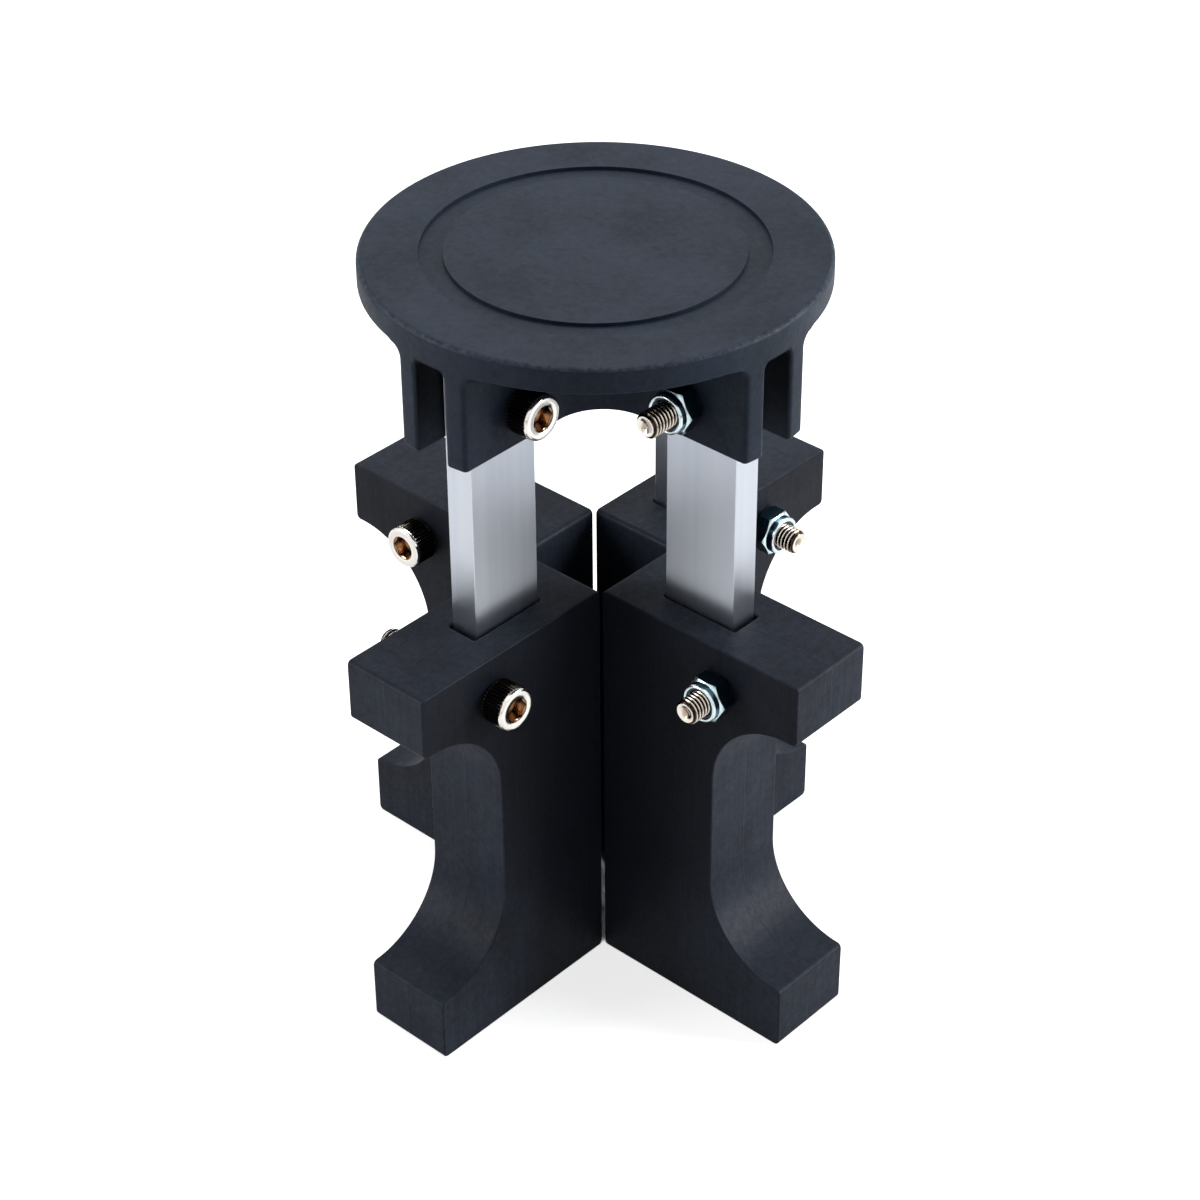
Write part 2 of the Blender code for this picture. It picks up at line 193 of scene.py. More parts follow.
def fork_outline(spread, slot_half):
    """One fork along +X, clockwise from one corner of the cross to the next.

    spread widens it towards the cap.  The points come in three stretches: the near side
    as far as the slot, the slot, and the far side.  The last stretch given bridges the mouth
    of the slot, for use above its roof.
    """
    half = FORK_HALF + spread
    plan = CROSS_ROUND - spread
    side = arc((half + plan, half + plan), plan, 225, 270, PLAN_STEPS)
    corner_x = math.sqrt((HUB_RADIUS - FORK_CORNER) ** 2 - (half - FORK_CORNER) ** 2)
    tangent = math.degrees(math.atan2(half - FORK_CORNER, corner_x))
    side += arc((corner_x, half - FORK_CORNER), FORK_CORNER, 90, tangent, CORNER_STEPS)
    lip_y = slot_half + SLOT_MOUTH_ROUND
    lip_x = math.sqrt((HUB_RADIUS - SLOT_MOUTH_ROUND) ** 2 - lip_y ** 2)
    lip_start = math.degrees(math.atan2(lip_y, lip_x))
    side += arc((0, 0), HUB_RADIUS, tangent, lip_start, 6)[1:-1]
    slot = arc((lip_x, lip_y), SLOT_MOUTH_ROUND, lip_start, -90, 6)
    slot += [(SLOT_INNER, slot_half)]
    slot += [(x, -y) for x, y in reversed(slot)]
    far_side = [(x, -y) for x, y in reversed(side)][:-1]
    mouth = [slot[0]]
    mouth += arc((0, 0), HUB_RADIUS, lip_start, -lip_start, MOUTH_STEPS)[1:-1]
    mouth += [slot[-1]]
    return side, slot, far_side, mouth


def cross_outline(spread, slot_half, with_slot=True):
    side, slot, far_side, mouth = fork_outline(spread, slot_half)
    one = side + (slot if with_slot else mouth) + far_side
    loop = []
    for k in range(ARMS):
        turn = Matrix.Rotation(-math.tau * k / ARMS, 2)
        loop += [turn @ Vector(p) for p in one]
    return loop


def build_forks(bm):
    """The forks, from their rounded ends up to the underside of the cap."""
    side, slot, far_side, mouth = fork_outline(0.0, SLOT_HALF)
    slot_end = len(side) + len(slot)
    one = slot_end + len(far_side)
    one_above = len(side) + len(mouth) + len(far_side)
    rows = []
    for depth, rise in quarter_round(FORK_END_ROUND, 5):
        outline = inset(cross_outline(0.0, SLOT_HALF), depth)
        rows.append(add_row(bm, [(*p, FORK_BOTTOM + rise) for p in outline]))
    bm.faces.new(rows[0])
    roof_start = SLOT_ROOF - SLOT_ROOF_ROUND
    root_start = CAP_UNDERSIDE - FORK_ROOT_ROUND
    heights = [roof_start + SLOT_ROOF_ROUND * math.sin(math.pi / 12 * i) for i in range(7)]
    heights += [root_start + FORK_ROOT_ROUND * math.sin(math.pi / 16 * i) for i in range(9)]
    for z in sorted(heights):
        above_roof = z > SLOT_ROOF + 1e-6
        up = min(max((z - root_start) / FORK_ROOT_ROUND, 0.0), 1.0)
        spread = FORK_ROOT_ROUND * (1 - math.sqrt(1 - up * up))
        over = min(max((z - roof_start) / SLOT_ROOF_ROUND, 0.0), 1.0)
        slot_half = SLOT_HALF - SLOT_ROOF_ROUND * (1 - math.sqrt(1 - over * over))
        outline = cross_outline(spread, slot_half, with_slot=not above_roof)
        rows.append(add_row(bm, [(*p, z) for p in outline]))
    for low, high in zip(rows, rows[1:]):
        if len(high) < len(low):
            rest = []
            for k in range(ARMS):
                fork = low[k * one:(k + 1) * one]
                above = high[k * one_above + len(side):][1:len(mouth) - 1]
                bridge = add_row(bm, [(v.co.x, v.co.y, SLOT_ROOF) for v in above])
                bm.faces.new(fork[len(side):slot_end] + bridge[::-1])
                rest += fork[:len(side) + 1] + bridge + fork[slot_end - 1:]
            low = rest
        join(bm, low, high)
    return rows[-1]


def build_cap(bm, forks):
    """The cap, from the underside between the forks to the ring in its top face."""
    one = len(forks) // ARMS
    on_rim = PLAN_STEPS + 1 + CORNER_STEPS
    off_rim = one - on_rim + 1
    last_on_corner = Vector(fork_outline(FORK_ROOT_ROUND, SLOT_HALF)[0][on_rim])
    start_angle = math.atan2(last_on_corner.y, last_on_corner.x)
    gap_angle = math.tau / ARMS - 2 * start_angle
    # The rounding of the cap's lower edge dies out beside the corners of the forks.
    near = [(i / 4 / GAP_STEPS, (i / 4) ** 2) for i in (1, 2, 3)]
    eases = near + [(i / GAP_STEPS, 1.0) for i in range(1, GAP_STEPS)]
    eases += [(1 - turn, ease) for turn, ease in reversed(near)]
    rim = []
    places = []
    for k in range(ARMS):
        start = k * one
        stretch = forks[start + on_rim:start + off_rim]
        gap_places = [(-start_angle - math.tau * k / ARMS - gap_angle * turn, ease)
                      for turn, ease in eases]
        gap = add_row(bm, [((HUB_RADIUS - RIM_LOW_ROUND * ease) * math.cos(angle),
                            (HUB_RADIUS - RIM_LOW_ROUND * ease) * math.sin(angle),
                            CAP_UNDERSIDE) for angle, ease in gap_places])
        side = [forks[i % len(forks)] for i in range(start + off_rim - 1, start + one + on_rim + 1)]
        bm.faces.new(gap + list(reversed(side)))
        rim += stretch + gap
        places += [(math.atan2(v.co.y, v.co.x), 0.0) for v in stretch]
        places += gap_places

    levels = [(HUB_RADIUS, depth, CAP_UNDERSIDE + rise)
              for depth, rise in quarter_round(RIM_LOW_ROUND, 4)[1:]]
    levels += [(HUB_RADIUS - rise, 0.0, HUB_TOP - depth)
               for depth, rise in quarter_round(RIM_TOP_ROUND, 6)]
    edge = [(RING_EDGE, 0.0), (RING_EDGE * 0.4, RING_EDGE * 0.1), (RING_EDGE * 0.1, RING_EDGE * 0.4),
            (0.0, RING_EDGE)]
    levels += [(RING_OUTER + out, 0.0, HUB_TOP - drop) for out, drop in edge]
    levels += [(RING_OUTER - out, 0.0, HUB_TOP - RING_DEPTH + drop) for out, drop in edge[::-1]]
    levels += [(RING_INNER + out, 0.0, HUB_TOP - RING_DEPTH + drop) for out, drop in edge]
    levels += [(RING_INNER - out, 0.0, HUB_TOP - drop) for out, drop in edge[::-1]]
    low = rim
    for radius, ease, z in levels:
        high = add_row(bm, [((radius - ease * between) * math.cos(angle),
                             (radius - ease * between) * math.sin(angle), z)
                            for angle, between in places])
        join(bm, low, high)
        low = high
    bm.faces.new(low)


def srgb(code):
    """The linear colour of an sRGB hex code."""
    parts = [int(code[i:i + 2], 16) / 255 for i in (1, 3, 5)]
    linear = [p / 12.92 if p <= 0.04045 else ((p + 0.055) / 1.055) ** 2.4 for p in parts]
    return (*linear, 1.0)


def wire(node, links):
    """Links (input, source, output) into a node, each socket by its name or number."""
    for socket, source, output in links:
        node.id_data.links.new(source.outputs[output], node.inputs[socket])


def add_node(owner, kind, links=(), numbered=(), stops=(), **settings):
    """A node with its settings and links.

    A setting names a property or, with spaces as underscores, an input.  numbered sets
    inputs by (number, value), and stops are a colour ramp's (position, hex code) pairs.
    """
    node = owner.node_tree.nodes.new(kind)
    for key, value in settings.items():
        if key in node.bl_rna.properties:
            setattr(node, key, value)
        else:
            node.inputs[key.replace("_", " ")].default_value = value
    for number, value in numbered:
        node.inputs[number].default_value = value
    for i, (position, code) in enumerate(stops):
        ramp = node.color_ramp.elements
        stop = ramp[i] if i < 2 else ramp.new(position)
        stop.position = position
        stop.color = srgb(code)
    wire(node, links)
    return node


def new_material(name, **settings):
    """A material with one Principled shader, and that shader."""
    mat = bpy.data.materials.new(name)
    mat.use_nodes = True
    shader = mat.node_tree.nodes["Principled BSDF"]
    for key, value in settings.items():
        shader.inputs[key.replace("_", " ")].default_value = value
    return mat, shader


def moulded_nylon(name, dark, light, rough, drag):
    """Black glass-filled nylon from a spark-eroded mould, and the nodes that a piece adds to.

    The pits of the texture, about 0.15 mm apart on the real piece, are drawn 0.35 mm apart
    so that they show.  The melt leaves wide clouds and a fine mottle in the colour, and the
    pull out of the mould leaves faint upright drag marks.
    """
    mat, shader = new_material(name, IOR=1.53, Specular_IOR_Level=0.09)
    place = add_node(mat, "ShaderNodeTexCoord")
    own = add_node(mat, "ShaderNodeObjectInfo")
    cloud = add_node(mat, "ShaderNodeTexNoise",
                     [("Vector", place, "Object"), ("W", own, "Random")],
                     noise_dimensions="4D", Scale=1 / 0.016, Detail=4.0, Roughness=0.6)
    mottle = add_node(mat, "ShaderNodeTexNoise", [("Vector", place, "Object")],
                      Scale=1 / 0.0016, Detail=4.0, Roughness=0.8)
    upright = add_node(mat, "ShaderNodeMapping", [("Vector", place, "Object")],
                       Scale=(1.0, 1.0, 0.04))
    drags = add_node(mat, "ShaderNodeTexNoise", [("Vector", upright, "Vector")],
                     Scale=1 / 0.0011, Detail=3.0, Roughness=0.7)
    pits = add_node(mat, "ShaderNodeTexNoise", [("Vector", place, "Object")],
                    Scale=1 / 0.00035, Detail=2.0, Roughness=0.6)
    marked = add_node(mat, "ShaderNodeMath", [(0, mottle, "Fac"), (2, cloud, "Fac")],
                      [(1, 0.9)], operation="MULTIPLY_ADD")
    marked = add_node(mat, "ShaderNodeMath", [(0, drags, "Fac"), (2, marked, 0)],
                      [(1, drag)], operation="MULTIPLY_ADD")
    low = 0.70 + 0.5 * drag
    high = 1.20 + 0.5 * drag
    tone = add_node(mat, "ShaderNodeMapRange", [("Value", marked, 0)],
                    From_Min=low, From_Max=high)
    tint = add_node(mat, "ShaderNodeValToRGB", [("Fac", tone, "Result")],
                    stops=[(0.0, dark), (1.0, light)])
    gloss = add_node(mat, "ShaderNodeMapRange", [("Value", marked, 0)], From_Min=low,
                     From_Max=high, To_Min=rough + 0.06, To_Max=rough - 0.06)
    bump = add_node(mat, "ShaderNodeBump", [("Height", pits, "Fac")],
                    Strength=0.45, Distance=0.00006)
    bump = add_node(mat, "ShaderNodeBump", [("Height", marked, 0), ("Normal", bump, "Normal")],
                    Strength=0.5, Distance=0.00006)
    wire(shader, [("Base Color", tint, "Color"), ("Roughness", gloss, "Result"),
                  ("Normal", bump, "Normal")])
    return mat, shader, place, tint, bump


bm = bmesh.new()
build_cap(bm, build_forks(bm))
hub_mesh = mesh_of(bm, "hub_shell")
arm_places = []
for k in range(ARMS):
    turn = Matrix.Rotation(math.tau * k / ARMS, 4, "Z")
    arm_places.append(turn @ Matrix.Translation((PIVOT_RADIUS, 0, PIVOT_HEIGHT)))
crosswise = Matrix.Rotation(math.pi / 2, 4, "X")
drill = lathe("pivot_drill", [(HOLE_RADIUS, -0.010), (HOLE_RADIUS, 0.010)], 40)
hub_mesh = carve(hub_mesh, [(drill, place @ crosswise) for place in arm_places])
hub_nylon, shader, place, tint, bump = moulded_nylon(
    "spark_textured_black_nylon_hub", "#182029", "#252D3B", 0.50, 0.1)
# Painted shade darkens the inside of the slots, which lie along the two axes of the cross, and
# grows from the open ends of the forks towards the roofs of the slots.
where = add_node(hub_nylon, "ShaderNodeSeparateXYZ", [("Vector", place, "Object")])
off_x = add_node(hub_nylon, "ShaderNodeMath", [(0, where, "X")], operation="ABSOLUTE")
off_y = add_node(hub_nylon, "ShaderNodeMath", [(0, where, "Y")], operation="ABSOLUTE")
in_slot = add_node(hub_nylon, "ShaderNodeMath", [(0, off_x, 0), (1, off_y, 0)],
                   operation="MINIMUM")
in_slot = add_node(hub_nylon, "ShaderNodeMapRange", [("Value", in_slot, 0)],
                   From_Min=SLOT_HALF + 0.0002, From_Max=SLOT_HALF + 0.0001)
under_roof = add_node(hub_nylon, "ShaderNodeMapRange", [("Value", where, "Z")],
                      From_Min=SLOT_ROOF + 0.0004, From_Max=SLOT_ROOF)
painted_slot_shade = add_node(hub_nylon, "ShaderNodeMath", [(0, in_slot, 0), (1, under_roof, 0)],
                  operation="MULTIPLY")
deep = add_node(hub_nylon, "ShaderNodeMapRange", [("Value", where, "Z")],
                From_Min=FORK_BOTTOM, From_Max=FORK_BOTTOM + 0.013, To_Min=0.25)
painted_slot_shade = add_node(hub_nylon, "ShaderNodeMath", [(0, painted_slot_shade, 0), (1, deep, 0)],
                  operation="MULTIPLY")
tint = add_node(hub_nylon, "ShaderNodeMix", [(0, painted_slot_shade, 0), (6, tint, "Color")],
                [(7, srgb("#6A6A6E"))], data_type="RGBA", blend_type="MULTIPLY")
# The rounded top edge of the rim is paler in patches some 1 mm long, partly rubbed by handling
# and partly a painted highlight.
rim_patches = add_node(hub_nylon, "ShaderNodeTexNoise", [("Vector", place, "Object")],
                  Scale=1 / 0.0012, Detail=4.0, Roughness=0.75)
rim_patches = add_node(hub_nylon, "ShaderNodeMapRange", [("Value", rim_patches, "Fac")],
                  From_Min=0.36, From_Max=0.72, To_Max=0.75)
off_axis = add_node(hub_nylon, "ShaderNodeMapping", [("Vector", place, "Object")],
                    Scale=(1.0, 1.0, 0.0))
off_axis = add_node(hub_nylon, "ShaderNodeVectorMath", [(0, off_axis, "Vector")],
                    operation="LENGTH")
outside = add_node(hub_nylon, "ShaderNodeMapRange", [("Value", off_axis, "Value")],
                   From_Min=HUB_RADIUS - 0.0008, From_Max=HUB_RADIUS - 0.0005)
high = add_node(hub_nylon, "ShaderNodeMapRange", [("Value", where, "Z")],
                From_Min=HUB_TOP - 0.0008, From_Max=HUB_TOP - 0.0005)
rubbed_and_highlit_rim = add_node(hub_nylon, "ShaderNodeMath", [(0, outside, 0), (1, high, 0)],
                  operation="MULTIPLY")
rubbed_and_highlit_rim = add_node(hub_nylon, "ShaderNodeMath", [(0, rubbed_and_highlit_rim, 0), (1, rim_patches, 0)],
                  operation="MULTIPLY")
tint = add_node(hub_nylon, "ShaderNodeMix", [(0, rubbed_and_highlit_rim, 0), (6, tint, 2)],
                [(7, srgb("#4C525D"))], data_type="RGBA")
wire(shader, [("Base Color", tint, 2)])
fit_piece("hub_moulding", hub_mesh, hub_nylon, "hub", "hub")


# Feet
# Four C-shaped blocks moulded from the same nylon, which carry the drum in their recesses when
# the riser is open.  Each has a pocket in its top face for a bar, and a bore through both
# sides for the screw that holds the bar.
FOOT_HALF = 0.0094
FOOT_INNER = -0.0177
FOOT_OUTER = FOOT_INNER + 0.0461
FOOT_BASE_OUTER = FOOT_OUTER - 0.0016
FOOT_WALL = FOOT_INNER + 0.0269
FOOT_BOTTOM = -PIVOT_HEIGHT
FOOT_TOP = FOOT_BOTTOM + 0.0856
FOOT_ARM_LOW = FOOT_TOP - 0.0129
FOOT_BASE_TOP = FOOT_BOTTOM + 0.0136
RECESS_ROUND = 0.0172
FOOT_CORNER = 0.0010
NEAR_TOUCH = 0.0002
FOOT_EDGE = 0.0003
POCKET_INNER = -0.0083
POCKET_OUTER = 0.0088
POCKET_HALF = 0.0033
POCKET_FLOOR = FOOT_TOP - 0.0203
POCKET_MOUTH = 0.0004
FOOT_SCREW = (0.0100, 0, FOOT_TOP - 0.0093)
EJECTOR = FOOT_OUTER - 0.0059
EJECTOR_RADIUS = 0.0008


def corner(x, y, radius, start, steps=5):
    """A rounded outer corner at (x, y), clockwise from an angle in degrees."""
    a, b = math.radians(start), math.radians(start - 90)
    centre = (x - radius * (math.cos(a) + math.cos(b)), y - radius * (math.sin(a) + math.sin(b)))
    return arc(centre, radius, start, start - 90, steps)


# Neighbouring feet all but touch, so these reach a little past the solids' inner faces.
inner_face = FOOT_INNER - NEAR_TOUCH
middle = FOOT_WALL + RECESS_ROUND
foot_outline = corner(inner_face, FOOT_TOP, FOOT_CORNER, 180)
foot_outline += corner(FOOT_OUTER, FOOT_TOP, FOOT_CORNER, 90)
foot_outline += corner(FOOT_OUTER, FOOT_ARM_LOW, FOOT_CORNER, 0)
foot_outline += arc((middle, FOOT_ARM_LOW - RECESS_ROUND), RECESS_ROUND, 90, 180, 28)
# The recess runs straight into the rounded lip of the lower block.
lip_x = FOOT_BASE_OUTER - FOOT_CORNER
lean = math.degrees(math.asin((middle - lip_x) / (RECESS_ROUND + FOOT_CORNER)))
lip_z = FOOT_BASE_TOP + RECESS_ROUND - (RECESS_ROUND + FOOT_CORNER) * math.cos(math.radians(lean))
foot_outline += arc((middle, FOOT_BASE_TOP + RECESS_ROUND), RECESS_ROUND, 180, 270 - lean, 28)
foot_outline += arc((lip_x, lip_z), FOOT_CORNER, 90 - lean, 0, 5)[1:]
foot_outline += corner(FOOT_BASE_OUTER, FOOT_BOTTOM, FOOT_CORNER, 0)
foot_outline += corner(inner_face, FOOT_BOTTOM, FOOT_CORNER, -90)

slices = [(depth, -FOOT_HALF + rise) for depth, rise in quarter_round(FOOT_EDGE, 5)]
slices += [(depth, -y) for depth, y in reversed(slices)]
bm = bmesh.new()
rows = [add_row(bm, [(x, y, z) for x, z in inset(foot_outline, depth)]) for depth, y in slices]
for low, high in zip(rows, rows[1:]):
    join(bm, low, high)
bm.faces.new(rows[0])
bm.faces.new(rows[-1])
foot_mesh = mesh_of(bm, "foot_block")

mouth_outline = corner(POCKET_INNER, POCKET_HALF, 0.0003, 180, 3)
mouth_outline += corner(POCKET_OUTER, POCKET_HALF, 0.0003, 90, 3)
mouth_outline += corner(POCKET_OUTER, -POCKET_HALF, 0.0003, 0, 3)
mouth_outline += corner(POCKET_INNER, -POCKET_HALF, 0.0003, -90, 3)
bm = bmesh.new()
rows = [add_row(bm, [(*p, POCKET_FLOOR) for p in mouth_outline])]
for drop, flare in quarter_round(POCKET_MOUTH, 4):
    rows.append(add_row(bm, [(*p, FOOT_TOP - drop) for p in inset(mouth_outline, -flare)]))
rows.append(add_row(bm, [(*p, FOOT_TOP + 0.0005) for p in inset(mouth_outline, -POCKET_MOUTH)]))
for low, high in zip(rows, rows[1:]):
    join(bm, low, high)
bm.faces.new(rows[0])
bm.faces.new(rows[-1])
pocket = mesh_of(bm, "pocket_core")
drill = lathe("foot_drill", [(HOLE_RADIUS, -0.012), (HOLE_RADIUS, 0.012)], 40)
foot_mesh = carve(foot_mesh, [(pocket, Matrix.Identity(4)),
                              (drill, Matrix.Translation(FOOT_SCREW) @ crosswise)])
foot_nylon, shader, place, tint, bump = moulded_nylon(
    "spark_textured_black_nylon_foot", "#181C24", "#252B37", 0.52, 0.5)
# The mould opens along the middle of a foot and leaves a fine line round it, 0.1 mm wide on the
# real piece and drawn 0.3 mm wide.  A pin that pushed the foot out left a ring in its top.
where = add_node(foot_nylon, "ShaderNodeSeparateXYZ", [("Vector", place, "Object")])
off_line = add_node(foot_nylon, "ShaderNodeMath", [(0, where, "Y")], operation="ABSOLUTE")
line = add_node(foot_nylon, "ShaderNodeMapRange", [("Value", off_line, 0)],
                From_Min=0.00020, From_Max=0.00010)
off_pin = add_node(foot_nylon, "ShaderNodeMapping", [("Vector", place, "Object")],
                   Location=(-EJECTOR, 0.0, 0.0), Scale=(1.0, 1.0, 0.0))
off_pin = add_node(foot_nylon, "ShaderNodeVectorMath", [(0, off_pin, "Vector")],
                   operation="LENGTH")
ring = add_node(foot_nylon, "ShaderNodeMath", [(0, off_pin, "Value")],
                [(1, EJECTOR_RADIUS), (2, 0.00012)], operation="COMPARE")
line = add_node(foot_nylon, "ShaderNodeMath", [(0, line, 0), (1, ring, 0)], operation="MAXIMUM")
raised = add_node(foot_nylon, "ShaderNodeBump", [("Height", line, 0), ("Normal", bump, "Normal")],
                  Strength=0.6, Distance=0.00004)
# The broad sides are painted darker, a painted shade, which fades out near the floor, where the
# paper lights them from below.
facing = add_node(foot_nylon, "ShaderNodeSeparateXYZ", [("Vector", place, "Normal")])
facing = add_node(foot_nylon, "ShaderNodeMath", [(0, facing, "Y")], operation="ABSOLUTE")
painted_side_shade = add_node(foot_nylon, "ShaderNodeMapRange", [("Value", facing, 0)], From_Min=0.9)
shade_above_floor = add_node(foot_nylon, "ShaderNodeMapRange", [("Value", where, "Z")],
                 From_Min=FOOT_BOTTOM + 0.004, From_Max=FOOT_BOTTOM + 0.032)
shade = add_node(foot_nylon, "ShaderNodeMath", [(0, painted_side_shade, 0), (1, shade_above_floor, 0)],
                 operation="MULTIPLY")
tint = add_node(foot_nylon, "ShaderNodeMix", [(0, shade, 0), (6, tint, "Color")],
                [(7, srgb("#A6A6AC"))], data_type="RGBA", blend_type="MULTIPLY")
wire(shader, [("Base Color", tint, 2), ("Normal", raised, "Normal")])
for k, place in enumerate(arm_places, 1):
    fit_piece(f"foot_moulding_{k}", foot_mesh, foot_nylon, f"arm_{k}",
              f"foot_{k}", place)


# Bars
# Sawn lengths of 16 by 6 mm extruded aluminium flat, brushed lengthways and left bare.  The
# brushing gives a satin face that spreads each highlight across the bar.
aluminium, shader = new_material("lengthways_brushed_aluminium", Metallic=1.0,
                                 Anisotropic=0.85, Anisotropic_Rotation=0.25)
place = add_node(aluminium, "ShaderNodeTexCoord")
# The brush marks, about 0.05 mm wide on the real bar, are drawn 0.2 mm wide so that they show.
stretch = add_node(aluminium, "ShaderNodeMapping", [("Vector", place, "Object")],
                   Scale=(1.0, 1.0, 0.012))
marks = add_node(aluminium, "ShaderNodeTexNoise", [("Vector", stretch, "Vector")],
                 Scale=1 / 0.0002, Detail=3.0, Roughness=0.6)
bands = add_node(aluminium, "ShaderNodeTexNoise", [("Vector", stretch, "Vector")],
                 Scale=1 / 0.0024, Detail=2.0)
tone = add_node(aluminium, "ShaderNodeValToRGB", [("Fac", bands, "Fac")],
                stops=[(0.30, "#CFD5DF"), (0.70, "#D7DCE4")])
gloss = add_node(aluminium, "ShaderNodeMapRange", [("Value", marks, "Fac")],
                 From_Min=0.3, From_Max=0.7, To_Min=0.42, To_Max=0.45)
bump = add_node(aluminium, "ShaderNodeBump", [("Height", marks, "Fac")],
                Strength=0.08, Distance=0.00001)
along = add_node(aluminium, "ShaderNodeVectorTransform", vector_type="VECTOR",
                 convert_from="OBJECT", convert_to="WORLD", Vector=(0, 0, 1))
wire(shader, [("Base Color", tone, "Color"), ("Roughness", gloss, "Result"),
              ("Normal", bump, "Normal"), ("Tangent", along, "Vector")])
for k in range(1, ARMS + 1):
    nodes[f"bar_{k}"].data.materials.clear()
    nodes[f"bar_{k}"].data.materials.append(aluminium)


# Screws
# M5 socket head screws of nickel-plated steel, with a knurled head, a broached hexagon and a
# rolled thread whose end stands out of the nut.  One crosses each fork and one each foot.
HEAD_RADIUS = 0.00425
HEAD_HEIGHT = 0.0050
KNURL_TEETH = 40
KNURL_DEPTH = 0.00026
KNURL_TOP = 0.0042
SOCKET_WIDTH = 0.0042
SOCKET_DEPTH = 0.0026
SOCKET_MOUTH = 0.00250
THREAD_RADIUS = 0.00246
THREAD_DEPTH = 0.00046
THREAD_PITCH = 0.0008
THREAD_SHOWN = 0.0075
TIP_RADIUS = 0.0019
PIVOT_SCREW_LENGTH = 0.0260
FOOT_SCREW_LENGTH = 0.0280
PIVOT_SEAT = 0.0080
FOOT_SEAT = 0.0097


def hexagon(width):
    """The radius of a hexagon of a width across its flats, as a function of the angle."""
    return lambda angle: width / 2 / math.cos(angle % (math.pi / 3) - math.pi / 6)


def knurl(angle):
    return HEAD_RADIUS - KNURL_DEPTH / 2 * (1 - math.cos(KNURL_TEETH * angle))


def add_thread(bm, length):
    """A shank down the Z axis, with a rolled thread that runs out at its chamfered tip.

    It is left open at the neck, whose edges are returned.
    """
    steps = 48
    per_turn = 10
    start = THREAD_SHOWN - length
    rows = []
    for i in range(math.ceil((THREAD_SHOWN / THREAD_PITCH + 1) * per_turn) + per_turn + 1):
        points = []
        for j in range(steps):
            z = start + THREAD_PITCH * (1 - i / per_turn - j / steps)
            off_crest = abs(i / per_turn % 1 - 0.5) * THREAD_PITCH
            cut = min(max((off_crest - 0.00005) / 0.00027, 0.0), 1.0) * THREAD_DEPTH
            radius = THREAD_RADIUS - cut
            if z >= start:
                radius = THREAD_RADIUS
            radius = min(radius, TIP_RADIUS + max(z + length, 0.0))
            z = min(max(z, -length), start)
            angle = math.tau * j / steps
            points.append((radius * math.cos(angle), radius * math.sin(angle), z))
        rows.append(add_row(bm, points))
    for i, (low, high) in enumerate(zip(rows, rows[1:])):
        for j in range(steps - 1):
            bm.faces.new((low[j], low[j + 1], high[j + 1], high[j]))
        if i + per_turn + 1 < len(rows):
            bm.faces.new((low[-1], rows[i + per_turn][0], rows[i + per_turn + 1][0], high[-1]))
    # The tip has the shallow hollow that the rolling dies leave.
    low = rows[-1]
    for radius, rise in ((0.00135, 0.0), (0.00100, 0.00020), (0.00030, 0.00045)):
        size = radius / TIP_RADIUS
        high = add_row(bm, [(v.co.x * size, v.co.y * size, rise - length) for v in rows[-1]])
        join(bm, low, high)
        low = high
    bm.faces.new(low)
    neck = add_row(bm, [(v.co.x, v.co.y, 0) for v in rows[0]])
    join(bm, rows[0], neck)
    return [bm.edges.get((neck[i - 1], neck[i])) for i in range(steps)]


def screw_mesh(name, length):
    """A screw with its head's seat at the origin and its head up the Z axis."""
    socket = hexagon(SOCKET_WIDTH)
    head = lathe(name + "_head", [
        (0.00395, 0.0), (0.00418, 0.00015), (knurl, 0.00035), (knurl, KNURL_TOP),
        (0.00418, 0.00428), (0.00418, 0.00445), (0.00413, 0.00468), (0.00402, 0.00485),
        (0.00388, 0.00496), (0.00370, HEAD_HEIGHT),
        (SOCKET_MOUTH, HEAD_HEIGHT),
        (socket, lambda a: HEAD_HEIGHT - 0.7 * (SOCKET_MOUTH - socket(a))),
        (socket, HEAD_HEIGHT - SOCKET_DEPTH), (0.0012, HEAD_HEIGHT - SOCKET_DEPTH - 0.0003),
        (0.0001, HEAD_HEIGHT - SOCKET_DEPTH - 0.0008)], 4 * KNURL_TEETH)
    bm = bmesh.new()
    bm.from_mesh(head)
    seat = min(bm.faces, key=lambda face: face.calc_center_median().z)
    seat_edges = list(seat.edges)
    bm.faces.remove(seat)
    bmesh.ops.bridge_loops(bm, edges=seat_edges + add_thread(bm, length))
    return mesh_of(bm, name)


def plated_steel(name, rough):
    """Plated steel, its gloss uneven with faint drawing marks 0.3 mm wide, and still uncoloured."""
    mat, shader = new_material(name, Metallic=1.0)
    place = add_node(mat, "ShaderNodeTexCoord")
    marks = add_node(mat, "ShaderNodeTexNoise", [("Vector", place, "Object")],
                     Scale=1 / 0.0003, Detail=2.0)
    gloss = add_node(mat, "ShaderNodeMapRange", [("Value", marks, "Fac")],
                     From_Min=0.3, From_Max=0.7, To_Min=rough - 0.04, To_Max=rough + 0.08)
    bump = add_node(mat, "ShaderNodeBump", [("Height", marks, "Fac")],
                    Strength=0.3, Distance=0.00002)
    wire(shader, [("Roughness", gloss, "Result"), ("Normal", bump, "Normal")])
    return mat, shader, place, marks


# Painted shade darkens the socket, the grooves between the teeth of the knurl, the roots of the
# thread and the hollow of the tip, so only what stands out is bright.  The tones go by the distance
# from the screw's axis, and the face of the head and its turned shoulder are polished.
TONE_SPAN = 0.005
TONE_SPREAD = 0.030


def at(radius):
    """The place of a radius on the ramps, past the mean of the marks."""
    return radius / TONE_SPAN + TONE_SPREAD / 2


